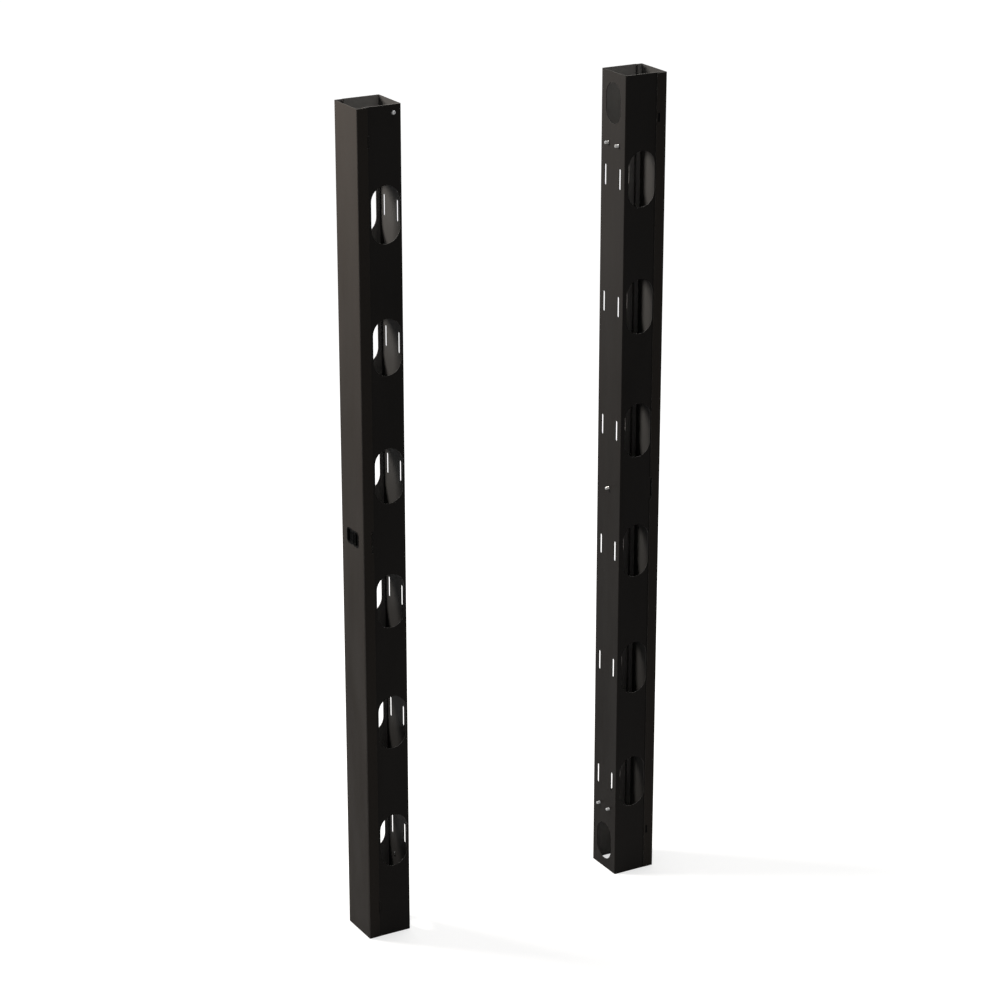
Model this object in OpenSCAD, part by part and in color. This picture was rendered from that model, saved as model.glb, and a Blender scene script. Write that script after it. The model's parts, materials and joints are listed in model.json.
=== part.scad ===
// Pair of vertical cable managers for a two-post rack.
// Each manager is a folded steel channel with a long hinged cover and a two-thumb latch.
// Origin: on the floor, midway between the two managers. +Z is up.
// +X runs from the left manager to the right one, and -Y is the front.
// A single manager is drawn in its own frame: X starts at the outer face of its cover and
// ends at its mounting face, Y is measured from its middle, and Z from its bottom end.

/* [Pair] */
// Distance between the centre lines of the two managers
pair_spacing = 636; // [450:1:900]

/* [Channel] */
// Height of a manager, 42 rack units
unit_height = 1866.9; // [1740:0.1:2100]
// Width from the outer face of the cover to the mounting face
unit_width = 101.6; // [98:0.1:130]
// Depth across the cover
unit_depth = 101.6; // [98:0.1:130]
// Sheet thickness of the channel
channel_t = 1.5; // [1.2:0.1:1.8]
// Outer radius of the sheet bends
bend_r = 2.5; // [2.2:0.1:3]
// Distance of the channel's lips behind the outer face of the cover
lip_setback = 16; // [15:0.5:17]
// Width of each inward lip
lip_w = 7; // [6:0.5:8]

/* [Cable openings] */
// Width of a side opening
opening_w = 65.5; // [50:0.5:66]
// Height of a side opening
opening_h = 123.5; // [90:0.5:160]
// Distance between the centres of neighbouring side openings
opening_pitch = 282.5; // [240:0.5:320]
// Distance from the mounting face to a side opening in the hinge-side wall
hinge_side_margin = 5.5; // [4.5:0.25:9]
// Distance from the mounting face to a side opening in the free-side wall
free_side_margin = 10.25; // [6:0.25:10.5]
// Least height left between a side opening and the end of the channel
opening_end_min = 150; // [125:1:160]
// Width of an end opening in the mounting wall
end_opening_w = 60; // [40:0.5:70]
// Height of an end opening in the mounting wall
end_opening_h = 90; // [72:0.5:105]
// Distance from the end of the channel to an end opening
end_opening_offset = 22; // [15:0.5:26]

/* [Tie slots] */
// Width of a tie slot
tie_slot_w = 6.5; // [5:0.1:8]
// Length of a tie slot
tie_slot_h = 46; // [30:0.5:60]
// Distance between the two tie slots of a pair
tie_slot_spacing = 58.5; // [52:0.5:66]

/* [Mounting studs] */
// Radius of a mounting stud
stud_r = 3; // [2:0.1:4]
// Length of a mounting stud outside the mounting face
stud_len = 8; // [6:0.5:20]
// Distance between the two studs of a pair
stud_spacing = 41.3; // [30:0.1:48]
// Distance from the end of the channel to a pair of studs, three and a half rack units
stud_end_offset = 155.6; // [135:0.1:165]
// Radius of a stud's head inside the channel
stud_head_r = 4.6; // [4.5:0.1:6]
// Thickness of a stud's head
stud_head_t = 1.2; // [0.8:0.1:2]

/* [Cover] */
// Sheet thickness of the cover
cover_t = 1.2; // [1:0.1:1.4]
// Gap between a flange of the cover and the channel wall beneath it
cover_gap = 0.8; // [0.7:0.05:1]
// Width of each flange of the cover
flange_w = 24.2; // [23.5:0.1:25]
// Distance that each end of the cover stops short of the end of the channel
cover_end_gap = 1; // [0.5:0.1:3]
// Distance from the end of the channel to an edge buffer
buffer_end_offset = 97; // [60:1:120]
// Length of an edge buffer
buffer_len = 20; // [12:0.5:30]
// Width of an edge buffer
buffer_w = 5; // [3:0.25:6]
// Distance that an edge buffer stands into the gap beneath the flange
buffer_proud = 0.2; // [0.1:0.05:0.3]

/* [Hinge] */
// Distance from the end of the channel to the middle of a hinge
hinge_end_offset = 72; // [50:1:90]
// Length of a hinge
hinge_len = 24; // [20:0.5:40]
// Radius of a hinge pin
hinge_pin_r = 1.2; // [1:0.05:1.3]
// Radius of a hinge knuckle
knuckle_r = 2.2; // [2:0.05:2.3]
// Thickness of a hinge leaf
leaf_t = 1.2; // [1:0.1:1.3]
// Width of a hinge leaf
leaf_w = 14; // [10:0.5:16]
// Angle that the cover opens to
hinge_open = 110; // [95:1:112]

/* [Latch] */
// Height of a latch pocket
pocket_h = 29; // [26:0.5:34]
// Depth from the face of the cover to the floor of a pocket
pocket_depth = 7; // [6:0.25:9]
// Web between the two pockets
pocket_web = 2.5; // [2.4:0.1:4]
// Corner radius of a pocket
pocket_r = 5.5; // [4:0.1:5.5]
// Width of a thumb slide
thumb_w = 11; // [11:0.5:14]
// Height of the bolts
bolt_h = 36; // [30:0.5:38]
// Thickness of the bolts
bolt_t = 2; // [1.5:0.1:2.5]
// Width of the visible rim around the pockets
rim_w = 1.8; // [1.2:0.1:3]
// Thickness of the visible rim
rim_t = 0.8; // [0.5:0.1:1.5]
// Half of the latch housing's width
housing_half_w = 33; // [31:0.5:35]
// Wall thickness of the latch housing
housing_wall = 2; // [1.5:0.1:2.5]
// Thickness of the latch back plate
back_plate_t = 1.2; // [0.8:0.1:2]

/* [Ground screw] */
// Distance from the mounting face to the ground screw
ground_inset = 17.5; // [12:0.5:20]
// Distance from the top of the channel to the ground screw
ground_drop = 17; // [12:0.5:25]
// Radius of the ground screw
ground_r = 2; // [1.6:0.1:2.2]
// Radius of the ground screw's head
ground_head_r = 3.9; // [3.4:0.1:4.4]

/* [Hidden] */
$fn = 48;

// Finishes
STEEL_BLACK = "#3b3937";
PLASTIC_BLACK = "#141414";
ZINC = "#c8ccd0";

// Running clearance of a pin or screw in its hole, on the radius
pin_fit = 0.05;
// Clearance around a loose screw or nut
screw_fit = 0.2;
// Clearance around a sliding latch piece
slide_fit = 0.3;
// Extra depth of a cut, so that it breaks through its faces
cut = 1;
// Overlap of the parts of one solid, so that they join
join = 0.5;

// Planes of the channel, from the middle of its depth
wall_out_y = unit_depth / 2 - cover_t - cover_gap;
wall_in_y = wall_out_y - channel_t;
lip_edge_y = wall_out_y - lip_w;
mid_z = unit_height / 2;

// Neck of a mounting stud in the wall, and the chamfer at its tip
stud_neck_r = stud_r + 0.5;
stud_tip = 0.75;

// Rows of side openings, centred on the height
opening_count = floor((unit_height - 2 * opening_end_min - opening_h) / opening_pitch) + 1;
function opening_x(margin) = unit_width - margin - opening_w / 2;
function opening_z(i) = mid_z + (i - (opening_count - 1) / 2) * opening_pitch;

// Both ends of the channel, each as a height on the bottom half mirrored to the top half
function both_ends(offset) = [offset, unit_height - offset];

// Hinge axis: the knuckles stand against the inner leaf, and the flange's free edge keeps
// clear of the wall when the cover is open
hinge_clear = 0.35;
hinge_y = wall_in_y - leaf_t + knuckle_r;
axis_depth = unit_depth / 2 - hinge_y;
hinge_setback = (-axis_depth * cos(hinge_open) + wall_out_y - hinge_y + hinge_clear)
    / sin(hinge_open);
hinge_x = flange_w + hinge_setback;
knuckle_gap = 0.3;
knuckle_count = 5;
knuckle_len = (hinge_len - (knuckle_count - 1) * knuckle_gap) / knuckle_count;
knuckle_clear = 0.4;
hinge_pin_head = 0.8;
// Half of the height that is cut clear round one hinge
hinge_half = hinge_len / 2 + hinge_pin_head + knuckle_clear;

// Latch: a bolt passes behind the lip and ends in a slot of the channel wall
bolt_behind_lip = 2.5;
bolt_x = lip_setback + channel_t + bolt_behind_lip;
bolt_drawn_back = 5;
bolt_engage = 0.5;
bolt_tip_y = lip_edge_y - bolt_drawn_back;
latch_travel = wall_in_y + bolt_engage - bolt_tip_y;
thumb_fit = 0.25;
pocket_w = thumb_w + latch_travel + 2 * thumb_fit;
pocket_y = pocket_web / 2 + pocket_w / 2;
thumb_y = pocket_web / 2 + thumb_fit + thumb_w / 2;
stem_w = 5;
stem_h = 12;
stem_fit = 0.3;
screw_r = 1.4;
screw_head_r = 2.75;
screw_head_t = 2.2;
housing_back = bolt_x + bolt_t + screw_head_t + 0.8;
housing_half_h = bolt_h / 2 + 9;
floor_t = 1.6;
collar_wall = 1;
collar_end = 3;
latch_stud_r = 1.5;
latch_stud_y = housing_half_w - 5;
latch_stud_z = housing_half_h - 5;
latch_boss_r = 2.6;
latch_nut_r = 3.1;
latch_nut_t = 2.4;
wall_slot_fit = 1;
wall_slot_end = 2.5;
edge_slot_half_h = 25;

// Detent springs: each presses on the top edge of its bolt, over two notches
detent_y = thumb_y + latch_travel - 1;
detent_w = 4;
detent_t = 0.4;
detent_clear = 0.3;
detent_half = 9;
notch_depth = 1;

// Edge buffers
buffer_edge = 3;
buffer_x = flange_w - buffer_w - buffer_edge;

// Ground screw, washer and nut
ground_washer_r = ground_head_r + 0.5;
ground_washer_t = 0.9;
ground_head_t = 2.6;
ground_recess = 1.2;
ground_nut_r = ground_r + 2.1;
ground_nut_t = 3.2;
ground_tail = 1;

// ---- frames and shared shapes ----

// Puts a manager, drawn in its own frame, on the left (-1) or turned about Z on the right (1)
module on_side(side) {
    rotate([0, 0, side > 0 ? 180 : 0])
        translate([-(pair_spacing + unit_width) / 2, 0, 0])
            children();
}

// Draws a latch piece on the free side (1) or mirrored to the hinge side (-1)
module latch_side(s) {
    if (s > 0) children();
    else mirror([0, 1, 0]) children();
}

// Extrudes a (Y, Z) outline along X, from x0
module along_x(x0, t) {
    translate([x0, 0, 0])
        rotate([90, 0, 90])
            linear_extrude(t)
                children();
}

// Extrudes an (X, Z) outline along Y, from y0 towards +Y
module along_y(y0, t) {
    translate([0, y0 + t, 0])
        rotate([90, 0, 0])
            linear_extrude(t)
                children();
}

// A box given by its two corners
module span(lo, hi) {
    translate(lo) cube(hi - lo);
}

module rounded_rect(w, h, r) {
    square([w - 2 * r, h], center = true);
    square([w, h - 2 * r], center = true);
    for (x = [-1, 1], y = [-1, 1])
        translate([x * (w / 2 - r), y * (h / 2 - r)])
            circle(r);
}

module obround(w, h) {
    square([w, h - w], center = true);
    for (y = [-1, 1])
        translate([0, y * (h - w) / 2])
            circle(w / 2);
}

// A folded sheet seen along Z: a ring with rounded bends, from x0 to x1 and y -half to half
module folded_ring(x0, x1, half, t) {
    translate([(x0 + x1) / 2, 0])
        difference() {
            rounded_rect(x1 - x0, 2 * half, bend_r);
            rounded_rect(x1 - x0 - 2 * t, 2 * (half - t), bend_r - t);
        }
}

// ---- channel and what is fixed to it ----

module channel_profile() {
    difference() {
        folded_ring(lip_setback, unit_width, wall_out_y, channel_t);
        translate([lip_setback + channel_t / 2, 0])
            square([channel_t + 2 * cut, 2 * lip_edge_y], center = true);
    }
}

module side_openings(margin) {
    for (i = [0 : opening_count - 1])
        translate([opening_x(margin), opening_z(i)])
            obround(opening_w, opening_h);
}

module mounting_wall_cuts() {
    for (z = both_ends(end_opening_offset + end_opening_h / 2))
        translate([0, z])
            obround(end_opening_w, end_opening_h);
    for (i = [0 : opening_count - 1], y = [-1, 1])
        translate([y * tie_slot_spacing / 2, opening_z(i)])
            obround(tie_slot_w, tie_slot_h);
}

// Places a child at each of the five mounting studs, in the mounting wall
module at_studs() {
    for (z = both_ends(stud_end_offset), y = [-1, 1])
        translate([unit_width, y * stud_spacing / 2, z])
            children();
    translate([unit_width, 0, mid_z])
        children();
}

// Window in the hinge-side wall and lip for one hinge
module hinge_window() {
    for (z = both_ends(hinge_end_offset))
        span([lip_setback - cut, -unit_depth / 2, z - hinge_half],
             [hinge_x + knuckle_r + knuckle_clear, -hinge_y + knuckle_r + knuckle_clear,
              z + hinge_half]);
}

// Slots in both side walls that the bolts end in
module bolt_slots() {
    for (y = [-1, 1])
        translate([bolt_x + bolt_t / 2, y * (wall_in_y + channel_t / 2), mid_z])
            cube([bolt_t + 2 * wall_slot_fit, channel_t + cut, bolt_h + 2 * wall_slot_end],
                 center = true);
}

module at_ground_screw() {
    translate([unit_width - ground_inset, -wall_out_y, unit_height - ground_drop])
        rotate([90, 0, 0])
            children();
}

module channel() {
    color(STEEL_BLACK)
        difference() {
            linear_extrude(unit_height) channel_profile();
            along_y(-unit_depth / 2, unit_depth / 2) side_openings(hinge_side_margin);
            along_y(0, unit_depth / 2) side_openings(free_side_margin);
            along_x(unit_width - channel_t - cut, channel_t + 2 * cut) mounting_wall_cuts();
            at_studs()
                rotate([0, -90, 0])
                    translate([0, 0, -cut])
                        cylinder(r = stud_neck_r + pin_fit, h = channel_t + 2 * cut);
            hinge_window();
            bolt_slots();
            at_ground_screw()
                translate([0, 0, -channel_t - cut])
                    cylinder(r = ground_r + screw_fit, h = channel_t + 2 * cut);
        }
}

module mounting_studs() {
    color(ZINC)
        at_studs()
            rotate([0, 90, 0]) {
                cylinder(r = stud_r, h = stud_len - stud_tip);
                translate([0, 0, stud_len - stud_tip])
                    cylinder(r1 = stud_r, r2 = stud_r - stud_tip, h = stud_tip);
                translate([0, 0, -channel_t])
                    cylinder(r = stud_neck_r, h = channel_t);
                translate([0, 0, -channel_t - stud_head_t])
                    cylinder(r = stud_head_r, h = stud_head_t);
            }
}

module ground_screw() {
    color(ZINC)
        at_ground_screw() {
            translate([0, 0, ground_washer_t])
                difference() {
                    cylinder(r = ground_head_r, h = ground_head_t);
                    for (a = [0, 90])
                        rotate([0, 0, a])
                            translate([0, 0, ground_head_t])
                                cube([ground_head_r, ground_recess, 2 * ground_recess],
                                     center = true);
                }
            translate([0, 0, -channel_t - ground_nut_t - ground_tail])
                cylinder(r = ground_r, h = channel_t + ground_nut_t + ground_tail + ground_washer_t);
        }
}

module ground_washer() {
    color(ZINC)
        at_ground_screw()
            difference() {
                cylinder(r = ground_washer_r, h = ground_washer_t);
                translate([0, 0, -cut])
                    cylinder(r = ground_r + screw_fit, h = ground_washer_t + 2 * cut);
            }
}

module ground_nut() {
    color(ZINC)
        at_ground_screw()
            translate([0, 0, -channel_t - ground_nut_t])
                difference() {
                    cylinder(r = ground_nut_r, h = ground_nut_t, $fn = 6);
                    translate([0, 0, -cut])
                        cylinder(r = ground_r + pin_fit, h = ground_nut_t + 2 * cut);
                }
}

// ---- hinges ----

// The knuckles of one hinge that belong to one leaf: first is 0 or 1
module knuckles(first) {
    for (k = [first : 2 : knuckle_count - 1])
        translate([hinge_x, -hinge_y, -hinge_len / 2 + k * (knuckle_len + knuckle_gap)])
            children();
}

module pin_hole() {
    translate([hinge_x, -hinge_y, -hinge_len / 2 - cut])
        cylinder(r = hinge_pin_r + pin_fit, h = hinge_len + 2 * cut);
}

// Leaf welded to the inner face of the channel wall, with the outer and middle knuckles
module hinge_channel_leaves() {
    color(STEEL_BLACK)
        for (z = both_ends(hinge_end_offset))
            translate([0, 0, z])
                difference() {
                    union() {
                        knuckles(0) {
                            cylinder(r = knuckle_r, h = knuckle_len);
                            translate([0, knuckle_r - leaf_t, 0])
                                cube([knuckle_r + knuckle_clear, leaf_t, knuckle_len]);
                        }
                        span([hinge_x + knuckle_r + knuckle_clear, -wall_in_y, -hinge_len / 2],
                             [hinge_x + knuckle_r + leaf_w, -wall_in_y + leaf_t, hinge_len / 2]);
                    }
                    pin_hole();
                }
}

// Leaf welded to the inner face of the cover's flange, with the two knuckles between
module hinge_cover_leaves() {
    face_y = -(unit_depth / 2 - cover_t);
    leaf_end = hinge_x - knuckle_r - knuckle_gap;
    color(STEEL_BLACK)
        for (z = both_ends(hinge_end_offset))
            translate([0, 0, z])
                difference() {
                    union() {
                        knuckles(1) {
                            cylinder(r = knuckle_r, h = knuckle_len);
                            translate([leaf_end - hinge_x - cut, face_y + hinge_y, 0])
                                cube([hinge_x - leaf_end + cut, leaf_t, knuckle_len]);
                        }
                        span([leaf_end - leaf_w, face_y, -hinge_len / 2],
                             [leaf_end, face_y + leaf_t, hinge_len / 2]);
                    }
                    pin_hole();
                }
}

module hinge_pins() {
    head_r = hinge_pin_r + 0.6;
    color(ZINC)
        for (z = both_ends(hinge_end_offset))
            translate([hinge_x, -hinge_y, z - hinge_len / 2 - hinge_pin_head]) {
                cylinder(r = hinge_pin_r, h = hinge_len + 2 * hinge_pin_head);
                for (end = [0, hinge_len + hinge_pin_head])
                    translate([0, 0, end])
                        cylinder(r = head_r, h = hinge_pin_head);
            }
}

// ---- cover and what is fixed to it ----

module cover_profile() {
    intersection() {
        folded_ring(0, unit_width, unit_depth / 2, cover_t);
        translate([flange_w / 2, 0])
            square([flange_w, unit_depth + cut], center = true);
    }
}

module buffer_windows() {
    for (z = both_ends(buffer_end_offset))
        translate([buffer_x + buffer_w / 2, z])
            square([buffer_w, buffer_len], center = true);
}

// Outline of the two latch pockets together, each grown by the same width
module pocket_outline(grow) {
    for (s = [-1, 1])
        translate([s * pocket_y, mid_z])
            rounded_rect(pocket_w + 2 * grow, pocket_h + 2 * grow, pocket_r + grow);
}

// The same with its waist closed, as one piece
module lobed_outline(grow) {
    pocket_outline(grow);
    translate([0, mid_z])
        square([pocket_w, pocket_h - 2 * pocket_r], center = true);
}

module cover() {
    color(STEEL_BLACK)
        difference() {
            translate([0, 0, cover_end_gap])
                linear_extrude(unit_height - 2 * cover_end_gap) cover_profile();
            along_x(-cut, cover_t + 2 * cut) lobed_outline(collar_wall + screw_fit);
            along_y(unit_depth / 2 - cover_t - cut, cover_t + 2 * cut) buffer_windows();
            for (z = both_ends(hinge_end_offset))
                span([hinge_x - knuckle_r - 2 * knuckle_gap, -unit_depth / 2 - cut, z - hinge_half],
                     [flange_w + cut, -unit_depth / 2 + cover_t + cut, z + hinge_half]);
            for (y = [-1, 1])
                translate([bolt_x - wall_slot_fit, y * unit_depth / 2 - cover_t - cut,
                           mid_z - edge_slot_half_h])
                    cube([flange_w, 2 * (cover_t + cut), 2 * edge_slot_half_h]);
        }
}

// Plastic buffers set in the free flange, which stop its long edge from rattling
module edge_buffers() {
    color(PLASTIC_BLACK)
        along_y(unit_depth / 2 - cover_t - buffer_proud, cover_t + buffer_proud)
            buffer_windows();
}

// ---- latch ----

module latch_bezel() {
    color(PLASTIC_BLACK)
        difference() {
            union() {
                along_x(-rim_t, rim_t) lobed_outline(collar_wall + rim_w);
                along_x(0, collar_end) lobed_outline(collar_wall);
            }
            along_x(-rim_t - cut, rim_t + collar_end + 2 * cut) pocket_outline(0);
        }
}

module at_latch_studs() {
    for (y = [-1, 1], z = [-1, 1])
        translate([0, y * latch_stud_y, mid_z + z * latch_stud_z])
            rotate([0, 90, 0])
                children();
}

module housing_shell() {
    inner_half_w = housing_half_w - housing_wall;
    inner_half_h = housing_half_h - housing_wall;
    floor_back = pocket_depth + floor_t;
    rib_t = 1.5;
    rib_z = bolt_h / 2 - 2 * rib_t;
    difference() {
        span([cover_t, -housing_half_w, mid_z - housing_half_h],
             [housing_back, housing_half_w, mid_z + housing_half_h]);
        span([floor_back, -inner_half_w, mid_z - inner_half_h],
             [housing_back + cut, inner_half_w, mid_z + inner_half_h]);
    }
    for (z = [-rib_z, rib_z])
        span([floor_back - join, -inner_half_w - join, mid_z + z - rib_t / 2],
             [bolt_x - screw_fit, inner_half_w + join, mid_z + z + rib_t / 2]);
    at_latch_studs()
        translate([0, 0, floor_back - join])
            cylinder(r = latch_boss_r, h = housing_back - floor_back + join);
}

module latch_housing() {
    color(PLASTIC_BLACK)
        difference() {
            housing_shell();
            along_x(cover_t - cut, collar_end - cover_t + cut) lobed_outline(collar_wall + screw_fit);
            along_x(collar_end - cut, pocket_depth - collar_end + cut) pocket_outline(0);
            for (s = [-1, 1])
                latch_side(s) {
                    span([pocket_depth - cut, thumb_y - stem_w / 2 - stem_fit,
                          mid_z - stem_h / 2 - stem_fit],
                         [pocket_depth + floor_t + cut, thumb_y + stem_w / 2 + latch_travel + stem_fit,
                          mid_z + stem_h / 2 + stem_fit]);
                    span([bolt_x - slide_fit, housing_half_w - housing_wall - cut,
                          mid_z - bolt_h / 2 - slide_fit],
                         [bolt_x + bolt_t + slide_fit, housing_half_w + cut,
                          mid_z + bolt_h / 2 + slide_fit]);
                }
            at_latch_studs()
                cylinder(r = latch_stud_r + screw_fit, h = housing_back + cut);
        }
}

// Weld studs on the inner face of the cover, which carry the latch
module latch_studs() {
    color(ZINC)
        at_latch_studs()
            translate([0, 0, cover_t])
                cylinder(r = latch_stud_r, h = housing_back + back_plate_t + latch_nut_t + 1 - cover_t);
}

module latch_back_plate() {
    color(STEEL_BLACK)
        difference() {
            span([housing_back, -housing_half_w, mid_z - housing_half_h],
                 [housing_back + back_plate_t, housing_half_w, mid_z + housing_half_h]);
            at_latch_studs()
                translate([0, 0, housing_back - cut])
                    cylinder(r = latch_stud_r + screw_fit, h = back_plate_t + 2 * cut);
        }
}

module latch_nuts() {
    color(ZINC)
        at_latch_studs()
            translate([0, 0, housing_back + back_plate_t])
                difference() {
                    cylinder(r = latch_nut_r, h = latch_nut_t, $fn = 6);
                    translate([0, 0, -cut])
                        cylinder(r = latch_stud_r + pin_fit, h = latch_nut_t + 2 * cut);
                }
}

// Outline of one bowed detent spring, from its foot to its belly and back
module detent_outline() {
    top = housing_half_h - housing_wall;
    belly = bolt_h / 2 + detent_clear + detent_t;
    rise = [[-detent_half, top], [-detent_half + 3, top], [-2, belly],
            [2, belly], [detent_half - 3, top], [detent_half, top]];
    low = [for (i = [len(rise) - 1 : -1 : 0]) rise[i] - [0, detent_t]];
    translate([detent_y, mid_z])
        polygon(concat(rise, low));
}

module detent_springs() {
    color(ZINC)
        for (s = [-1, 1])
            latch_side(s)
                along_x(bolt_x + bolt_t / 2 - detent_w / 2, detent_w) detent_outline();
}

module thumb(s) {
    back = pocket_depth - screw_fit;
    face = 0.4;
    rib_t = 0.8;
    rib_w = 1.2;
    rib_pitch = 2.6;
    color(PLASTIC_BLACK)
        latch_side(s)
            difference() {
                union() {
                    along_x(face, back - face)
                        translate([thumb_y, mid_z])
                            rounded_rect(thumb_w, pocket_h - 2 * slide_fit, pocket_r - thumb_fit);
                    for (k = [-1 : 1])
                        span([face - rib_t, thumb_y + k * rib_pitch - rib_w / 2, mid_z - pocket_h / 3],
                             [face + join, thumb_y + k * rib_pitch + rib_w / 2, mid_z + pocket_h / 3]);
                    span([back - join, thumb_y - stem_w / 2, mid_z - stem_h / 2],
                         [bolt_x, thumb_y + stem_w / 2, mid_z + stem_h / 2]);
                }
                translate([pocket_depth + floor_t, thumb_y, mid_z])
                    rotate([0, 90, 0])
                        cylinder(r = screw_r + pin_fit, h = bolt_x);
            }
}

module bolt_outline() {
    inner_end = thumb_y - stem_w / 2 - 1;
    tip = 3;
    difference() {
        translate([0, mid_z])
            polygon([[inner_end, -bolt_h / 2], [bolt_tip_y - tip, -bolt_h / 2],
                     [bolt_tip_y, -bolt_h / 2 + tip], [bolt_tip_y, bolt_h / 2 - tip],
                     [bolt_tip_y - tip, bolt_h / 2], [inner_end, bolt_h / 2]]);
        for (y = [detent_y, detent_y - latch_travel])
            translate([y, mid_z + bolt_h / 2])
                polygon([[-3, cut], [-3, 0], [-2, -notch_depth], [2, -notch_depth], [3, 0], [3, cut]]);
    }
}

module bolt(s) {
    color(ZINC)
        latch_side(s)
            difference() {
                along_x(bolt_x, bolt_t) bolt_outline();
                translate([bolt_x - cut, thumb_y, mid_z])
                    rotate([0, 90, 0])
                        cylinder(r = screw_r + screw_fit, h = bolt_t + 2 * cut);
            }
}

module bolt_screw(s) {
    screw_len = 9;
    color(ZINC)
        latch_side(s)
            translate([bolt_x + bolt_t, thumb_y, mid_z])
                rotate([0, 90, 0]) {
                    cylinder(r = screw_head_r, h = screw_head_t);
                    translate([0, 0, -screw_len])
                        cylinder(r = screw_r, h = screw_len);
                }
}

// ---- the left manager ----
on_side(-1) channel();  // left_channel
on_side(-1) hinge_channel_leaves();  // left_hinge_channel_leaves
on_side(-1) hinge_pins();  // left_hinge_pins
on_side(-1) mounting_studs();  // left_mounting_studs
on_side(-1) ground_screw();  // left_ground_screw
on_side(-1) ground_washer();  // left_ground_washer
on_side(-1) ground_nut();  // left_ground_nut
on_side(-1) cover();  // left_cover
on_side(-1) hinge_cover_leaves();  // left_hinge_cover_leaves
on_side(-1) edge_buffers();  // left_edge_buffers
on_side(-1) latch_bezel();  // left_latch_bezel
on_side(-1) latch_housing();  // left_latch_housing
on_side(-1) latch_studs();  // left_latch_studs
on_side(-1) latch_back_plate();  // left_latch_back_plate
on_side(-1) latch_nuts();  // left_latch_nuts
on_side(-1) detent_springs();  // left_detent_springs
on_side(-1) thumb(-1);  // left_hinge_side_thumb
on_side(-1) bolt(-1);  // left_hinge_side_bolt
on_side(-1) bolt_screw(-1);  // left_hinge_side_screw
on_side(-1) thumb(1);  // left_free_side_thumb
on_side(-1) bolt(1);  // left_free_side_bolt
on_side(-1) bolt_screw(1);  // left_free_side_screw

// ---- the right manager ----
on_side(1) channel();  // right_channel
on_side(1) hinge_channel_leaves();  // right_hinge_channel_leaves
on_side(1) hinge_pins();  // right_hinge_pins
on_side(1) mounting_studs();  // right_mounting_studs
on_side(1) ground_screw();  // right_ground_screw
on_side(1) ground_washer();  // right_ground_washer
on_side(1) ground_nut();  // right_ground_nut
on_side(1) cover();  // right_cover
on_side(1) hinge_cover_leaves();  // right_hinge_cover_leaves
on_side(1) edge_buffers();  // right_edge_buffers
on_side(1) latch_bezel();  // right_latch_bezel
on_side(1) latch_housing();  // right_latch_housing
on_side(1) latch_studs();  // right_latch_studs
on_side(1) latch_back_plate();  // right_latch_back_plate
on_side(1) latch_nuts();  // right_latch_nuts
on_side(1) detent_springs();  // right_detent_springs
on_side(1) thumb(-1);  // right_hinge_side_thumb
on_side(1) bolt(-1);  // right_hinge_side_bolt
on_side(1) bolt_screw(-1);  // right_hinge_side_screw
on_side(1) thumb(1);  // right_free_side_thumb
on_side(1) bolt(1);  // right_free_side_bolt
on_side(1) bolt_screw(1);  // right_free_side_screw
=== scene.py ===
import json
import math

import bmesh
import bpy
from mathutils import Matrix, Vector


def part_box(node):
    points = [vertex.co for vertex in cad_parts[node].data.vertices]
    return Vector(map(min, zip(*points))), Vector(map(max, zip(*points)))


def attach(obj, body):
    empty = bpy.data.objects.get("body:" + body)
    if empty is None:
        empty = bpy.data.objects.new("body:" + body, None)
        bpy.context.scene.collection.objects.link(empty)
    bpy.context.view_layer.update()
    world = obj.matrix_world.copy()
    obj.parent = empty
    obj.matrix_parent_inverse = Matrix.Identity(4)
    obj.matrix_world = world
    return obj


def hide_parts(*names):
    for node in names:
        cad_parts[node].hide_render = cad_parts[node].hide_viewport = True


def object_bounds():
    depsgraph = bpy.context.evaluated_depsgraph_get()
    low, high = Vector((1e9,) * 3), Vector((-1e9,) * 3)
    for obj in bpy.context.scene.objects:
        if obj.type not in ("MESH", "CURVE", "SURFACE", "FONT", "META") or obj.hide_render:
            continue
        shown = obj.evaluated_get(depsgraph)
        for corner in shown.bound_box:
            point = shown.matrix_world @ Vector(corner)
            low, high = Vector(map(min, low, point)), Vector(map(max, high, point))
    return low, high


# ---- the frame ----

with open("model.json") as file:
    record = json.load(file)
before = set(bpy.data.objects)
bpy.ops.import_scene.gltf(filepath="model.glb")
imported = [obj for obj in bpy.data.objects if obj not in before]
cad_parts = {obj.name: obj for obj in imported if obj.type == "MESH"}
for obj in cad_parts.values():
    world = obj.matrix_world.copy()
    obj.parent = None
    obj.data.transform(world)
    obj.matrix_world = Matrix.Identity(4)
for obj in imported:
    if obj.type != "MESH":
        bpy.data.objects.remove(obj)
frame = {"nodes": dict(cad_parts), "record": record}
cad_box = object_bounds()
record = frame["record"]
slots = {s["node"]: s["material_slot"] for s in record["subparts"]}

SIDES = ("left", "right")
MM = 0.001
# Points of a CAD solid that are nearer to each other than this are one corner
WELD = 0.002 * MM
# Thickness of the channel's and the cover's sheet
SHEET = 1.5 * MM
COVER_SHEET = 1.2 * MM
# Steps round a screw or a stud, round a nut, and round the toothed washer
SEGMENTS = 32
NUT_SEGMENTS = 72
WASHER_SEGMENTS = 64
# From a manager's cover towards the rack, and out of its hinge-side wall
INWARD = {"left": Vector((1, 0, 0)), "right": Vector((-1, 0, 0))}
HINGE_SIDE = {"left": Vector((0, -1, 0)), "right": Vector((0, 1, 0))}

# Faces of the managers, as distances from the middle planes of the pair
low_corner, high_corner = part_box("left_channel")
MOUNTING_FACE = -high_corner.x
LIP_FACE = -low_corner.x
WALL_FACE = high_corner.y
cover_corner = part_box("left_cover")
COVER_FACE = -cover_corner[0].x
COVER_SIDE = cover_corner[1].y
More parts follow.
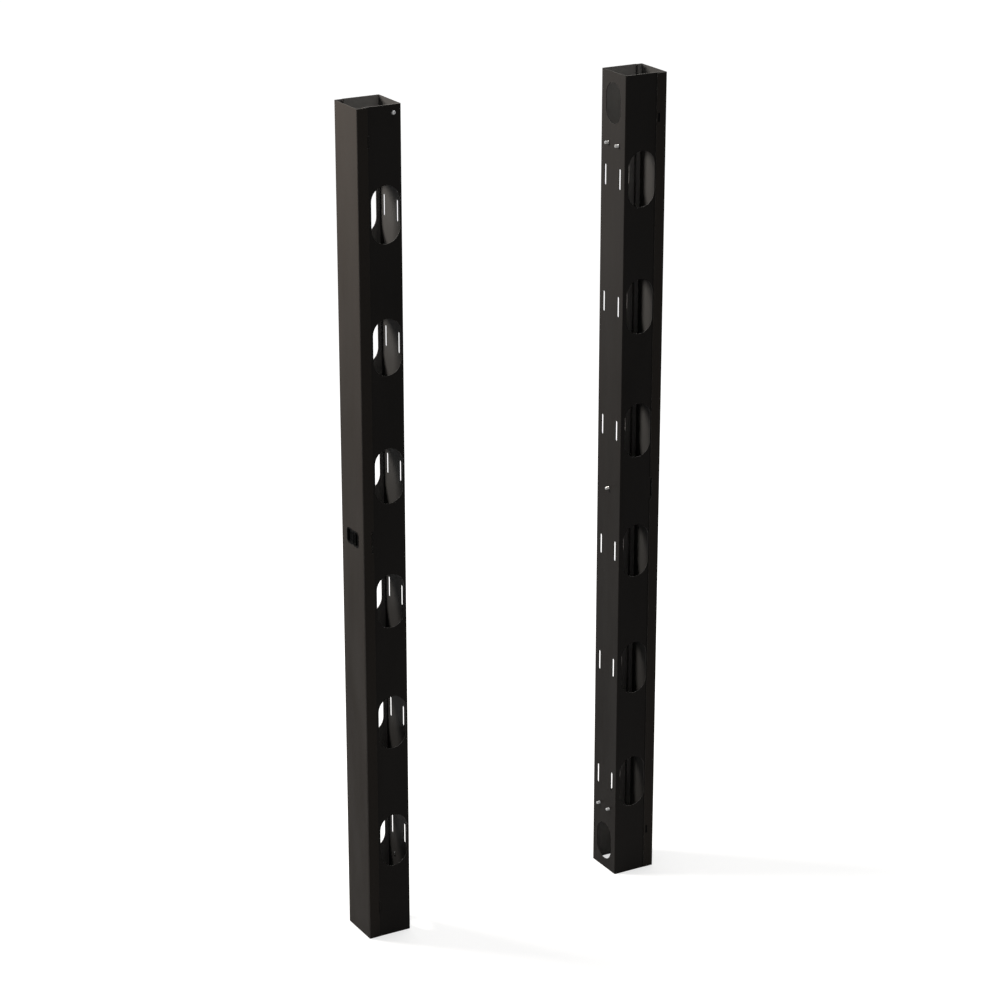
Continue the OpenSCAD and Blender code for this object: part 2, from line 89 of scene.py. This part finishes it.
# Nearest and furthest distance across, and half the depth, of the space between the faces
CHANNEL_HOLLOW = (MOUNTING_FACE + SHEET / 2, LIP_FACE - SHEET / 2, WALL_FACE - SHEET / 2)
COVER_HOLLOW = (0.0, COVER_FACE - COVER_SHEET / 2, COVER_SIDE - COVER_SHEET / 2)

# ---- node materials ----

# Share of the broad clouds in the tone of a powder coat; fine specks have the rest
CLOUD_SHARE = 0.75
# Tone of the painted inner light in its darker spots, and the share of it that faces other than
# the side walls get, where it is painted shade
INNER_LIGHT_SPOT_TONE = 0.78
ACROSS_PAINTED_LIGHT_SHARE = 0.18
# The inner faces of the side walls lie within this distance of a hollow's bound
WALL_BAND = 1.05 * MM
# How far rubbed edges take on the worn colour, and how much smoother they are
EDGE_WEAR = 0.75
EDGE_POLISH = 0.1
# Strength of the faint tint on plated steel
TINT_SHARE = 0.35
PLATING_IOR = 1.5
# Colour of the painted light on inner faces, which both powder coats share: a lighter grey that
# stands in for light falling into the managers, not a coat of their own
INNER_PAINTED_LIGHT = (0.26, 0.253, 0.244)


class Nodes:
    """A material's node tree: methods add nodes and return the socket that they end in."""

    def __init__(self, name):
        self.material = bpy.data.materials.new(name)
        self.material.use_nodes = True
        self.tree = self.material.node_tree
        self.tree.nodes.clear()
        self.output = self.tree.nodes.new("ShaderNodeOutputMaterial")
        coord = self.tree.nodes.new("ShaderNodeTexCoord")
        self.object_coord = coord.outputs["Object"]

    def add(self, kind, **inputs):
        """Adds a node with its inputs given by name; returns it and its first output."""
        node = self.tree.nodes.new(kind)
        for key, value in inputs.items():
            self.put(node, key.replace("_", " "), value)
        return node, node.outputs[0]

    def put(self, node, key, value):
        """Links a socket to a node's input, or sets the input to a constant."""
        socket = node.inputs[key]
        if isinstance(value, bpy.types.NodeSocket):
            self.tree.links.new(value, socket)
        else:
            socket.default_value = value

    def noise(self, scale, detail=2.0, roughness=0.5, stretch=None):
        vector = self.object_coord
        if stretch:
            _, vector = self.add("ShaderNodeMapping", Vector=vector, Scale=stretch)
        _, out = self.add("ShaderNodeTexNoise", Vector=vector, Scale=scale,
                          Detail=detail, Roughness=roughness)
        return out

    def ramp(self, fac, low, high, to_low=0.0, to_high=1.0):
        node, out = self.add("ShaderNodeMapRange", Value=fac)
        node.clamp = True
        for key, value in (("From Min", low), ("From Max", high),
                           ("To Min", to_low), ("To Max", to_high)):
            node.inputs[key].default_value = value
        return out

    def mix(self, fac, a, b):
        """Mixes two colours; the numbers are the Mix node's own inputs for colours."""
        node = self.tree.nodes.new("ShaderNodeMix")
        node.data_type = "RGBA"
        for key, value in ((0, fac), (6, a), (7, b)):
            self.put(node, key, value if isinstance(value, (bpy.types.NodeSocket, float)) else
                     (*value, 1.0))
        return node.outputs[2]

    def math(self, operation, a, b=0.0):
        node = self.tree.nodes.new("ShaderNodeMath")
        node.operation = operation
        self.put(node, 0, a)
        self.put(node, 1, b)
        return node.outputs[0]

    def bump(self, height, strength, distance, normal=None):
        node, out = self.add("ShaderNodeBump", Strength=strength, Distance=distance,
                             Height=height)
        if normal is not None:
            self.put(node, "Normal", normal)
        return out

    def edge_mask(self, radius, low, high):
        """1 along convex and concave edges, 0 on flat faces."""
        bevel = self.tree.nodes.new("ShaderNodeBevel")
        bevel.samples = 4
        bevel.inputs["Radius"].default_value = radius
        geometry = self.tree.nodes.new("ShaderNodeNewGeometry")
        dot = self.tree.nodes.new("ShaderNodeVectorMath")
        dot.operation = "DOT_PRODUCT"
        self.tree.links.new(bevel.outputs[0], dot.inputs[0])
        self.tree.links.new(geometry.outputs["Normal"], dot.inputs[1])
        return self.ramp(dot.outputs["Value"], high, low)

    def between(self, value, low, high):
        """1 where the value lies between the bounds, 0 outside."""
        return self.math("MULTIPLY", self.math("GREATER_THAN", value, low),
                         self.math("LESS_THAN", value, high))

    def inside(self, nearest, furthest, half_depth):
        """1 on faces inside a manager, by distance from the pair's middle planes, and
        1 on those of them that are side walls."""
        split = self.tree.nodes.new("ShaderNodeSeparateXYZ")
        self.tree.links.new(self.object_coord, split.inputs[0])
        across = self.math("ABSOLUTE", split.outputs["X"])
        deep = self.math("ABSOLUTE", split.outputs["Y"])
        within = self.math("MULTIPLY", self.between(across, nearest, furthest),
                           self.math("LESS_THAN", deep, half_depth))
        return within, self.math("GREATER_THAN", deep, half_depth - WALL_BAND)

    def finish(self, color, roughness, normal, metallic, ior):
        """Ends the tree in one shader and returns the material."""
        shader = self.tree.nodes.new("ShaderNodeBsdfPrincipled")
        self.put(shader, "Base Color", color)
        self.put(shader, "Roughness", roughness)
        self.put(shader, "Normal", normal)
        shader.inputs["Metallic"].default_value = metallic
        shader.inputs["IOR"].default_value = ior
        self.tree.links.new(shader.outputs[0], self.output.inputs["Surface"])
        return self.material


def powder_coat(name, dark, light, worn, hollow, rough_low, rough_high, ior):
    """Satin powder coat: fine sandy grain, slight orange peel, cloudy tone, rubbed edges.
    Inner faces get painted light, a lighter grey standing in for light that falls into the
    manager, and less of it on faces other than side walls; hollow bounds where those faces are."""
    n = Nodes(name)
    cloud = n.noise(scale=5.0, detail=4.0, roughness=0.6, stretch=(1.0, 1.0, 0.35))
    speck = n.noise(scale=900.0, detail=2.0, roughness=0.6)
    tone = n.math("ADD", n.math("MULTIPLY", cloud, CLOUD_SHARE),
                  n.math("MULTIPLY", speck, 1.0 - CLOUD_SHARE))
    color = n.mix(n.ramp(tone, low=0.32, high=0.68), dark, light)
    # Painted light: inner faces take a lighter grey that stands in for light falling into the
    # manager, with darker spots at random
    inner_light = n.mix(n.ramp(tone, low=0.25, high=0.75),
                 tuple(INNER_LIGHT_SPOT_TONE * c for c in INNER_PAINTED_LIGHT), INNER_PAINTED_LIGHT)
    within, side_wall = n.inside(*hollow)
    # Painted shade: faces across the manager get only a small share of the painted inner light
    # that the side walls get
    inner_light = n.mix(side_wall, tuple(ACROSS_PAINTED_LIGHT_SHARE * c for c in INNER_PAINTED_LIGHT), inner_light)
    color = n.mix(within, color, inner_light)
    edge = n.math("MULTIPLY", n.edge_mask(radius=0.8 * MM, low=0.86, high=0.985),
                  n.ramp(n.noise(scale=60.0, detail=3.0), low=0.38, high=0.66))
    color = n.mix(n.math("MULTIPLY", edge, EDGE_WEAR), color, worn)
    smear = n.noise(scale=14.0, detail=5.0, roughness=0.65, stretch=(1.0, 1.0, 0.22))
    rough = n.ramp(smear, low=0.35, high=0.65, to_low=rough_low, to_high=rough_high)
    rough = n.math("SUBTRACT", rough, n.math("MULTIPLY", edge, EDGE_POLISH))
    peel = n.bump(n.noise(scale=260.0, detail=2.0, roughness=0.45),
                  strength=0.25, distance=0.3 * MM)
    grain = n.bump(n.noise(scale=1500.0, detail=3.0, roughness=0.7),
                   strength=0.3, distance=0.12 * MM, normal=peel)
    return n.finish(color, rough, grain, metallic=0.0, ior=ior)


def moulded_plastic(name, dark, light, rough_low, rough_high, ior):
    """Fine matte moulding grain with duller and smoother patches."""
    n = Nodes(name)
    color = n.mix(n.ramp(n.noise(scale=40.0, detail=3.0), low=0.35, high=0.65), dark, light)
    rough = n.ramp(n.noise(scale=90.0, detail=3.0), low=0.35, high=0.65,
                   to_low=rough_low, to_high=rough_high)
    spark = n.bump(n.noise(scale=2200.0, detail=2.0, roughness=0.5),
                   strength=0.35, distance=0.1 * MM)
    return n.finish(color, rough, spark, metallic=0.0, ior=ior)


def plated_steel(name, dark, light, tint, rough_low, rough_high, stretch):
    """Bright plating: drawn lines, a faint tint in places and duller patches."""
    n = Nodes(name)
    lines = n.noise(scale=700.0, detail=3.0, roughness=0.6, stretch=stretch)
    color = n.mix(n.ramp(lines, low=0.3, high=0.7), dark, light)
    tinted = n.ramp(n.noise(scale=130.0, detail=2.0), low=0.45, high=0.7)
    color = n.mix(n.math("MULTIPLY", tinted, TINT_SHARE), color, tint)
    rough = n.ramp(n.noise(scale=210.0, detail=4.0, roughness=0.6), low=0.3, high=0.7,
                   to_low=rough_low, to_high=rough_high)
    normal = n.bump(lines, strength=0.18, distance=0.1 * MM)
    return n.finish(color, rough, normal, metallic=1.0, ior=PLATING_IOR)


MATERIALS = {
    "channel_powder_coat": powder_coat(
        "channel_powder_coat", dark=(0.017, 0.0158, 0.0149), light=(0.023, 0.0212, 0.0198),
        worn=(0.085, 0.08, 0.075), hollow=CHANNEL_HOLLOW,
        rough_low=0.44, rough_high=0.60, ior=1.10),
    "cover_powder_coat": powder_coat(
        "cover_powder_coat", dark=(0.027, 0.0236, 0.0209), light=(0.036, 0.0315, 0.0278),
        worn=(0.11, 0.102, 0.094), hollow=COVER_HOLLOW,
        rough_low=0.40, rough_high=0.54, ior=1.09),
    "black_plastic": moulded_plastic(
        "black_plastic", dark=(0.0035, 0.0035, 0.0036), light=(0.006, 0.006, 0.006),
        rough_low=0.44, rough_high=0.6, ior=1.06),
    "zinc": plated_steel(
        "zinc", dark=(0.24, 0.244, 0.25), light=(0.40, 0.403, 0.408),
        tint=(0.38, 0.355, 0.29), rough_low=0.28, rough_high=0.46, stretch=(1.0, 1.0, 0.15)),
    "spring_steel": plated_steel(
        "spring_steel", dark=(0.28, 0.28, 0.29), light=(0.46, 0.46, 0.47),
        tint=(0.4, 0.36, 0.3), rough_low=0.22, rough_high=0.36, stretch=(1.0, 0.1, 1.0)),
}


def dress(obj, slot):
    obj.data.materials.clear()
    obj.data.materials.append(MATERIALS[slot])


for node_name, node_object in frame["nodes"].items():
    dress(node_object, slots[node_name])


# ---- meshes ----

def body_of(node):
    return next(b for b, nodes in record["behaviour"]["bodies"].items() if node in nodes)


def new_object(name, bm):
    mesh = bpy.data.meshes.new(name)
    bmesh.ops.recalc_face_normals(bm, faces=bm.faces)
    bm.to_mesh(mesh)
    bm.free()
    obj = bpy.data.objects.new(name, mesh)
    bpy.context.scene.collection.objects.link(obj)
    return obj


def apply_modifiers(obj):
    """Replaces an object's mesh by what its modifiers make of it."""
    graph = bpy.context.evaluated_depsgraph_get()
    made = bpy.data.meshes.new_from_object(obj.evaluated_get(graph))
    made.name = obj.name
    obj.modifiers.clear()
    obj.data = made


def smooth(obj, degrees):
    """Smooth shading, kept sharp at edges steeper than the angle."""
    bm = bmesh.new()
    bm.from_mesh(obj.data)
    for face in bm.faces:
        face.smooth = True
    limit = math.radians(degrees)
    for edge in bm.edges:
        edge.smooth = not (len(edge.link_faces) == 2 and edge.calc_face_angle(0.0) > limit)
    bm.to_mesh(obj.data)
    bm.free()


def piece_for(obj, node):
    """The piece stands for the CAD node, rides on its body and takes its finish."""
    dress(obj, slots[node])
    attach(obj, body_of(node))
    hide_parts(node)


def cad_mesh(node):
    """A CAD node's mesh with its corners joined."""
    bm = bmesh.new()
    bm.from_mesh(frame["nodes"][node].data)
    bmesh.ops.remove_doubles(bm, verts=bm.verts, dist=WELD)
    return bm


def softened(node, width, segments):
    """The CAD node's own shape with its sharp edges rounded over."""
    bm = cad_mesh(node)
    bmesh.ops.dissolve_limit(bm, angle_limit=math.radians(0.4), verts=bm.verts, edges=bm.edges)
    obj = new_object(node + "_rounded", bm)
    bevel = obj.modifiers.new("edges", "BEVEL")
    bevel.width = width
    bevel.segments = segments
    bevel.limit_method = "ANGLE"
    bevel.angle_limit = math.radians(32)
    apply_modifiers(obj)
    smooth(obj, degrees=34)
    weighted = obj.modifiers.new("normals", "WEIGHTED_NORMAL")
    weighted.keep_sharp = True
    weighted.weight = 80
    apply_modifiers(obj)
    piece_for(obj, node)


def axis_frame(origin, axis):
    """A matrix that puts local +Z along axis, at origin."""
    turn = Vector(axis).to_track_quat("Z", "Y").to_matrix().to_4x4()
    return Matrix.Translation(Vector(origin)) @ turn


def basis(origin, axis, across):
    """A matrix that puts local +Z along axis and local +X along across, at origin."""
    z, x = Vector(axis).normalized(), Vector(across).normalized()
    place = Matrix((x, z.cross(x), z)).transposed().to_4x4()
    place.translation = Vector(origin)
    return place


def loft(bm, place, rings, loop=False):
    """Joins rings of (x, y, z) points into a closed skin, capped at both ends or looped."""
    made = [[bm.verts.new(place @ Vector(p)) for p in ring] for ring in rings]
    pairs = list(zip(made, made[1:])) + ([(made[-1], made[0])] if loop else [])
    count = len(made[0])
    for low, high in pairs:
        for i in range(count):
            j = (i + 1) % count
            bm.faces.new((low[i], low[j], high[j], high[i]))
    if not loop:
        bm.faces.new(list(reversed(made[0])))
        bm.faces.new(made[-1])


def circle(radius, z, count):
    turns = [2 * math.pi * i / count for i in range(count)]
    return [(radius * math.cos(a), radius * math.sin(a), z) for a in turns]


def thread_rings(major, depth, pitch, start, end, chamfer, count, steps=6):
    """Rings of a screw thread along +Z, running out in a chamfer at its end."""
    run_in = 0.75 * pitch
    steepness, crest = 1.3, 0.15
    rings = []
    total = max(2, round((end - start) / pitch * steps))
    for j in range(total + 1):
        z = start + (end - start) * j / total
        limit = major - max(0.0, chamfer - (end - z))
        fade = min(1.0, (z - start) / run_in)
        ring = []
        for i in range(count):
            a = 2 * math.pi * i / count
            phase = (z / pitch - i / count) % 1.0
            flank = min(1.0, max(0.0, abs(2 * phase - 1) * steepness - crest))
            r = min(major - depth * fade * flank, limit)
            ring.append((r * math.cos(a), r * math.sin(a), z))
        rings.append(ring)
    return rings


def hex_radius(angle, apothem):
    sector = math.pi / 3
    return apothem / math.cos((angle % sector) - sector / 2)


def nut_rings(apothem, height, bore, count):
    """Closed loop of rings round a hexagon nut with chamfered corners and bore mouths."""
    flat = apothem * 0.96
    lead = bore * 0.12
    chamfer_slope = 0.5

    def outer(z_edge, sign):
        ring = []
        for i in range(count):
            a = 2 * math.pi * i / count
            r = hex_radius(a, apothem)
            z = z_edge - sign * max(0.0, (r - flat)) * chamfer_slope
            ring.append((r * math.cos(a), r * math.sin(a), z))
        return ring

    return [circle(bore, lead, count), circle(bore + lead, 0.0, count), circle(flat, 0.0, count),
            outer(0.0, -1), outer(height, 1), circle(flat, height, count),
            circle(bore + lead, height, count), circle(bore, height - lead, count)]


def corners_of(obj):
    points = [v.co for v in obj.data.vertices]
    return [f(p[i] for p in points) for f in (min, max) for i in range(3)]


def boolean_cut(obj, cutter):
    """Cuts a recess, and stops if the cut took more than a recess."""
    tolerance = 0.01 * MM
    before = corners_of(obj)
    cut = obj.modifiers.new("recess", "BOOLEAN")
    cut.operation = "DIFFERENCE"
    cut.solver = "EXACT"
    cut.object = cutter
    bpy.context.view_layer.update()
    apply_modifiers(obj)
    bpy.data.objects.remove(cutter)
    if max(abs(x - y) for x, y in zip(before, corners_of(obj))) > tolerance:
        raise RuntimeError("the recess changed the size of " + obj.name)


def cross_cutter(place, half_length, half_width, depth):
    """A cross-shaped driver point in one skin, with tapered arms."""
    a, b = half_length, half_width
    plan = [(a, -b), (a, b), (b, b), (b, a), (-b, a), (-b, b),
            (-a, b), (-a, -b), (-b, -b), (-b, -a), (b, -a), (b, -b)]
    taper = 0.72
    clear_above = depth * 0.5
    bm = bmesh.new()
    loft(bm, place, [[(x * taper, y * taper, -depth) for x, y in plan],
                     [(x, y, clear_above) for x, y in plan]])
    return new_object("driver_point", bm)


def pan_head_screw(name, place, head_r, head_t, shank, tail, pitch, thread_from):
    """A screw in one skin: threaded shank down -Z, pan head with a cross recess up +Z."""
    thread_depth = 0.55 * pitch * 0.8
    tip_r, rim, top_r = shank * 0.55, head_t * 0.42, head_r * 0.5
    dome_steps = 6
    thread = thread_rings(shank, depth=thread_depth, pitch=pitch, start=thread_from,
                          end=tail - 0.01 * MM, chamfer=0.4 * shank, count=SEGMENTS)
    rings = [circle(tip_r, -tail, SEGMENTS)]
    rings += [[(x, y, -z) for x, y, z in ring] for ring in reversed(thread)]
    rings += [circle(shank, 0.0, SEGMENTS), circle(head_r * 0.97, 0.0, SEGMENTS),
              circle(head_r, rim * 0.3, SEGMENTS), circle(head_r, rim, SEGMENTS)]
    for k in range(1, dome_steps):
        turn = k / dome_steps * math.pi / 2
        rings.append(circle(head_r * (0.52 + 0.48 * math.cos(turn)),
                            rim + (head_t - rim) * math.sin(turn), SEGMENTS))
    rings.append(circle(top_r, head_t, SEGMENTS))
    bm = bmesh.new()
    loft(bm, place, rings)
    obj = new_object(name, bm)
    recess = place @ Matrix.Translation((0, 0, head_t))
    boolean_cut(obj, cross_cutter(recess, half_length=head_r * 0.52,
                                  half_width=head_r * 0.15, depth=head_t * 0.5))
    smooth(obj, degrees=30)
    return obj


def solids(node):
    """Lowest and highest corner of each separate solid in a CAD node."""
    bm = cad_mesh(node)
    left, boxes = set(bm.verts), []
    while left:
        stack, found = [left.pop()], []
        while stack:
            vert = stack.pop()
            found.append(vert.co.copy())
            for edge in vert.link_edges:
                other = edge.other_vert(vert)
                if other in left:
                    left.remove(other)
                    stack.append(other)
        boxes.append((Vector([min(c[i] for c in found) for i in range(3)]),
                      Vector([max(c[i] for c in found) for i in range(3)])))
    bm.free()
    return sorted(boxes, key=lambda b: (round(b[0].z, 5), round(b[0].y, 5)))


def bore_radius(node, centre, axis):
    """Radius of the hole through a CAD node, round an axis through centre."""
    return min((v.co - centre - (v.co - centre).dot(axis) * axis).length
               for v in frame["nodes"][node].data.vertices)


def mounting_studs(side):
    """Clinch studs: flat head inside, neck in the wall, threaded shank outside."""
    node = side + "_mounting_studs"
    pins = [m for m in record["mounts"] if m["kind"] == "pin" and m["name"].startswith(side)]
    low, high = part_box(node)
    outward = Vector(pins[0]["axis"])
    half = pins[0]["dims"]["length_mm"] * MM / 2
    r = pins[0]["dims"]["r_mm"] * MM
    spots = [Vector(m["pos_m"]) - outward * half for m in pins]
    face = spots[0].x
    length = abs((high.x if outward.x > 0 else low.x) - face)
    inner = abs((low.x if outward.x > 0 else high.x) - face)
    head_r = high.z - max(s.z for s in spots)
    neck_r, root_r, tip_r = r * 1.16, r * 0.9, r - 1.0 * MM
    lead = 0.3 * MM
    bm = bmesh.new()
    for spot in spots:
        rings = [circle(head_r - lead, -inner, SEGMENTS), circle(head_r, -inner + lead, SEGMENTS),
                 circle(head_r, -SHEET, SEGMENTS), circle(neck_r, -SHEET, SEGMENTS),
                 circle(neck_r, -lead, SEGMENTS), circle(root_r, 0.0, SEGMENTS)]
        rings += thread_rings(r, depth=0.5 * MM, pitch=1.0 * MM, start=0.15 * MM,
                              end=length - 0.02 * MM, chamfer=0.7 * MM, count=SEGMENTS)
        rings.append(circle(tip_r, length, SEGMENTS))
        loft(bm, axis_frame(spot, outward), rings)
    obj = new_object(node + "_threaded", bm)
    smooth(obj, degrees=28)
    piece_for(obj, node)


def latch_nuts(side):
    """Hexagon nuts with chamfered corners on the housing's studs."""
    node = side + "_latch_nuts"
    bm = bmesh.new()
    for low, high in solids(node):
        centre, size = (low + high) / 2, high - low
        across = (0, 0, 1) if size.z > size.y else (0, 1, 0)
        flats = min(size.y, size.z)
        loft(bm, basis((low.x, centre.y, centre.z), (1, 0, 0), across),
             nut_rings(flats / 2, height=size.x, bore=flats * 0.31, count=NUT_SEGMENTS),
             loop=True)
    obj = new_object(node + "_chamfered", bm)
    smooth(obj, degrees=24)
    piece_for(obj, node)


def latch_studs(side):
    """Weld studs with a thread over their inner end."""
    node = side + "_latch_studs"
    bm = bmesh.new()
    for low, high in solids(node):
        centre = (low + high) / 2
        start = low.x if side == "left" else high.x
        r, length = (high.z - low.z) / 2, high.x - low.x
        rings = [circle(r, 0.0, SEGMENTS)]
        rings += thread_rings(r, depth=0.25 * MM, pitch=0.5 * MM, start=length * 0.45,
                              end=length - 0.01 * MM, chamfer=0.35 * MM, count=SEGMENTS)
        loft(bm, axis_frame((start, centre.y, centre.z), INWARD[side]), rings)
    obj = new_object(node + "_threaded", bm)
    smooth(obj, degrees=28)
    piece_for(obj, node)


def slide_screw(side, end):
    """Pan-head screw with a cross recess that holds a bolt to its thumb."""
    node = f"{side}_{end}_screw"
    low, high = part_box(node)
    centre = (low + high) / 2
    inward = INWARD[side]
    top = high.x if side == "left" else low.x
    head_r, head_t = (high.z - low.z) / 2, 2.2 * MM
    seat = Vector((top, centre.y, centre.z)) - inward * head_t
    obj = pan_head_screw(node + "_threaded", axis_frame(seat, inward), head_r, head_t,
                         shank=1.4 * MM, tail=(high.x - low.x) - head_t, pitch=0.5 * MM,
                         thread_from=0.6 * MM)
    piece_for(obj, node)


def ground_hardware(side):
    """Pan-head earthing screw with a cross recess, toothed lock washer and chamfered nut."""
    node = side + "_ground_screw"
    low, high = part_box(node)
    centre = (low + high) / 2
    outward = HINGE_SIDE[side]
    top = low.y if side == "left" else high.y
    bottom = high.y if side == "left" else low.y
    wash_low, wash_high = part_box(side + "_ground_washer")
    nut_low, nut_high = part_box(side + "_ground_nut")
    seat = wash_low.y if side == "left" else wash_high.y
    wall_face = wash_high.y if side == "left" else wash_low.y
    hole = bore_radius(side + "_ground_washer", centre, outward)
    bore = bore_radius(side + "_ground_nut", centre, outward)
    screw = pan_head_screw(node + "_threaded", axis_frame((centre.x, seat, centre.z), outward),
                           head_r=(high.x - low.x) / 2, head_t=abs(top - seat),
                           shank=bore - 0.05 * MM, tail=abs(bottom - seat), pitch=0.8 * MM,
                           thread_from=abs(wall_face - seat) + SHEET)
    piece_for(screw, node)

    washer_r = (wash_high.x - wash_low.x) / 2
    washer_t = wash_high.y - wash_low.y
    body_r, root_r = washer_r - 0.6 * MM, washer_r - 0.45 * MM
    edge = washer_t * 0.22
    outer_low, outer_high = [], []
    for i in range(WASHER_SEGMENTS):
        a = 2 * math.pi * i / WASHER_SEGMENTS
        r = washer_r if i % 4 < 2 else root_r
        outer_low.append((r * math.cos(a), r * math.sin(a), edge))
        outer_high.append((r * math.cos(a), r * math.sin(a), washer_t - edge))
    bm = bmesh.new()
    loft(bm, axis_frame((centre.x, wall_face, centre.z), outward),
         [circle(hole, 0.0, WASHER_SEGMENTS), circle(body_r, 0.0, WASHER_SEGMENTS),
          outer_low, outer_high, circle(body_r, washer_t, WASHER_SEGMENTS),
          circle(hole, washer_t, WASHER_SEGMENTS)], loop=True)
    washer = new_object(side + "_ground_washer_toothed", bm)
    smooth(washer, degrees=30)
    piece_for(washer, side + "_ground_washer")

    nut_face = nut_low.y if side == "left" else nut_high.y
    bm = bmesh.new()
    loft(bm, basis((centre.x, nut_face, centre.z), -outward, (1, 0, 0)),
         nut_rings((nut_high.z - nut_low.z) / 2, height=nut_high.y - nut_low.y, bore=bore,
                   count=NUT_SEGMENTS), loop=True)
    nut = new_object(side + "_ground_nut_chamfered", bm)
    smooth(nut, degrees=24)
    piece_for(nut, side + "_ground_nut")


# Pieces that keep their CAD shape with rounded edges: width and steps of the rounding
ROUNDED = (
    ("latch_bezel", 0.35 * MM, 3), ("latch_housing", 0.3 * MM, 2),
    ("edge_buffers", 0.35 * MM, 3), ("hinge_side_thumb", 0.4 * MM, 3),
    ("free_side_thumb", 0.4 * MM, 3), ("hinge_side_bolt", 0.3 * MM, 2),
    ("free_side_bolt", 0.3 * MM, 2), ("latch_back_plate", 0.25 * MM, 2),
    ("hinge_channel_leaves", 0.2 * MM, 2), ("hinge_cover_leaves", 0.2 * MM, 2),
)

for side in SIDES:
    mounting_studs(side)
    ground_hardware(side)
    latch_nuts(side)
    latch_studs(side)
    slide_screw(side, "hinge_side")
    slide_screw(side, "free_side")
    for part, width, segments in ROUNDED:
        softened(side + "_" + part, width, segments)


# ---- floor, light and camera ----

# Half the length of the floor's side, in metres
FLOOR_HALF = 40.0
# Grey of the floor for light that bounces off it, and where it is seen
FLOOR_BOUNCE = 0.32
FLOOR_SEEN = 0.5
# The seen floor glows less near the part, to keep the shadow, and more further off:
# distances from the middle of the pair, and strengths there
GLOW_NEAR, GLOW_FAR = 0.8, 2.4
GLOW_LOW, GLOW_HIGH = 0.67, 0.95
# Strength of the surroundings as light on the part
AMBIENT = 0.18
CAMERA_PLACE = Vector((-3.0671, -5.3888, 3.1914))
AZIMUTH, ELEVATION = math.radians(29.569), math.radians(-19.859)
CAMERA_LENS = 109.05
SENSOR_WIDTH = 36.0
VIEW_DISTANCE = 200.0


def background_rays(tree):
    """1 for rays that see the background straight, in a mirror or through glass."""
    path = tree.nodes.new("ShaderNodeLightPath")
    seen = path.outputs["Is Camera Ray"]
    for other in ("Is Glossy Ray", "Is Transmission Ray"):
        larger = tree.nodes.new("ShaderNodeMath")
        larger.operation = "MAXIMUM"
        tree.links.new(seen, larger.inputs[0])
        tree.links.new(path.outputs[other], larger.inputs[1])
        seen = larger.outputs[0]
    return seen


def diffuse(tree, grey):
    shader = tree.nodes.new("ShaderNodeBsdfDiffuse")
    shader.inputs["Color"].default_value = (grey, grey, grey, 1.0)
    return shader.outputs[0]


def floor_material():
    """Pale floor: white in the open, darker in the shadow, and duller as a source of light."""
    n = Nodes("studio_floor")
    glow = n.tree.nodes.new("ShaderNodeEmission")
    reach = n.tree.nodes.new("ShaderNodeVectorMath")
    reach.operation = "LENGTH"
    n.tree.links.new(n.object_coord, reach.inputs[0])
    level = n.ramp(reach.outputs["Value"], GLOW_NEAR, GLOW_FAR, GLOW_LOW, GLOW_HIGH)
    n.tree.links.new(level, glow.inputs["Strength"])
    both = n.tree.nodes.new("ShaderNodeAddShader")
    n.tree.links.new(diffuse(n.tree, FLOOR_SEEN), both.inputs[0])
    n.tree.links.new(glow.outputs[0], both.inputs[1])
    pick = n.tree.nodes.new("ShaderNodeMixShader")
    n.tree.links.new(background_rays(n.tree), pick.inputs[0])
    n.tree.links.new(diffuse(n.tree, FLOOR_BOUNCE), pick.inputs[1])
    n.tree.links.new(both.outputs[0], pick.inputs[2])
    n.tree.links.new(pick.outputs[0], n.output.inputs["Surface"])
    return n.material


bm = bmesh.new()
corners = [bm.verts.new((x * FLOOR_HALF, y * FLOOR_HALF, 0.0))
           for x, y in ((-1, -1), (1, -1), (1, 1), (-1, 1))]
bm.faces.new(corners)
floor = new_object("studio_floor", bm)
floor.data.materials.append(floor_material())
floor.location.z = cad_box[0].z

world = bpy.data.worlds.new("studio")
bpy.context.scene.world = world
world.use_nodes = True
tree = world.node_tree
tree.nodes.clear()
out = tree.nodes.new("ShaderNodeOutputWorld")
level = tree.nodes.new("ShaderNodeMapRange")
level.inputs["To Min"].default_value = AMBIENT
level.inputs["To Max"].default_value = 1.0
tree.links.new(background_rays(tree), level.inputs["Value"])
background = tree.nodes.new("ShaderNodeBackground")
background.inputs["Color"].default_value = (1.0, 1.0, 1.0, 1.0)
tree.links.new(level.outputs[0], background.inputs["Strength"])
tree.links.new(background.outputs[0], out.inputs["Surface"])


def aim(obj, direction):
    """Turns a lamp or a camera to look along a direction, upright."""
    obj.rotation_mode = "QUATERNION"
    obj.rotation_quaternion = direction.to_track_quat("-Z", "Y")


def area_light(name, location, target, size, watts, color):
    data = bpy.data.lights.new(name, "AREA")
    data.shape = "RECTANGLE"
    data.size = data.size_y = size
    data.energy = watts
    data.color = color
    obj = bpy.data.objects.new(name, data)
    bpy.context.scene.collection.objects.link(obj)
    obj.location = location
    aim(obj, Vector(target) - Vector(location))


height = cad_box[1].z
area_light("key", location=(-1.2, 1.05, height + 0.55), target=(-0.05, 0.0, height * 0.8),
           size=0.6, watts=76.0, color=(1.0, 0.95, 0.90))
area_light("top", location=(0.3, 0.4, height + 2.2), target=(0.0, 0.0, height * 0.5),
           size=2.0, watts=85.0, color=(1.0, 0.99, 0.97))

camera_data = bpy.data.cameras.new("camera")
camera_data.lens = CAMERA_LENS
camera_data.sensor_width = SENSOR_WIDTH
camera_data.clip_end = VIEW_DISTANCE
camera = bpy.data.objects.new("camera", camera_data)
bpy.context.scene.collection.objects.link(camera)
camera.location = CAMERA_PLACE
aim(camera, Vector((math.sin(AZIMUTH) * math.cos(ELEVATION),
                    math.cos(AZIMUTH) * math.cos(ELEVATION), math.sin(ELEVATION))))
bpy.context.scene.camera = camera
bpy.context.scene.view_settings.view_transform = "Standard"
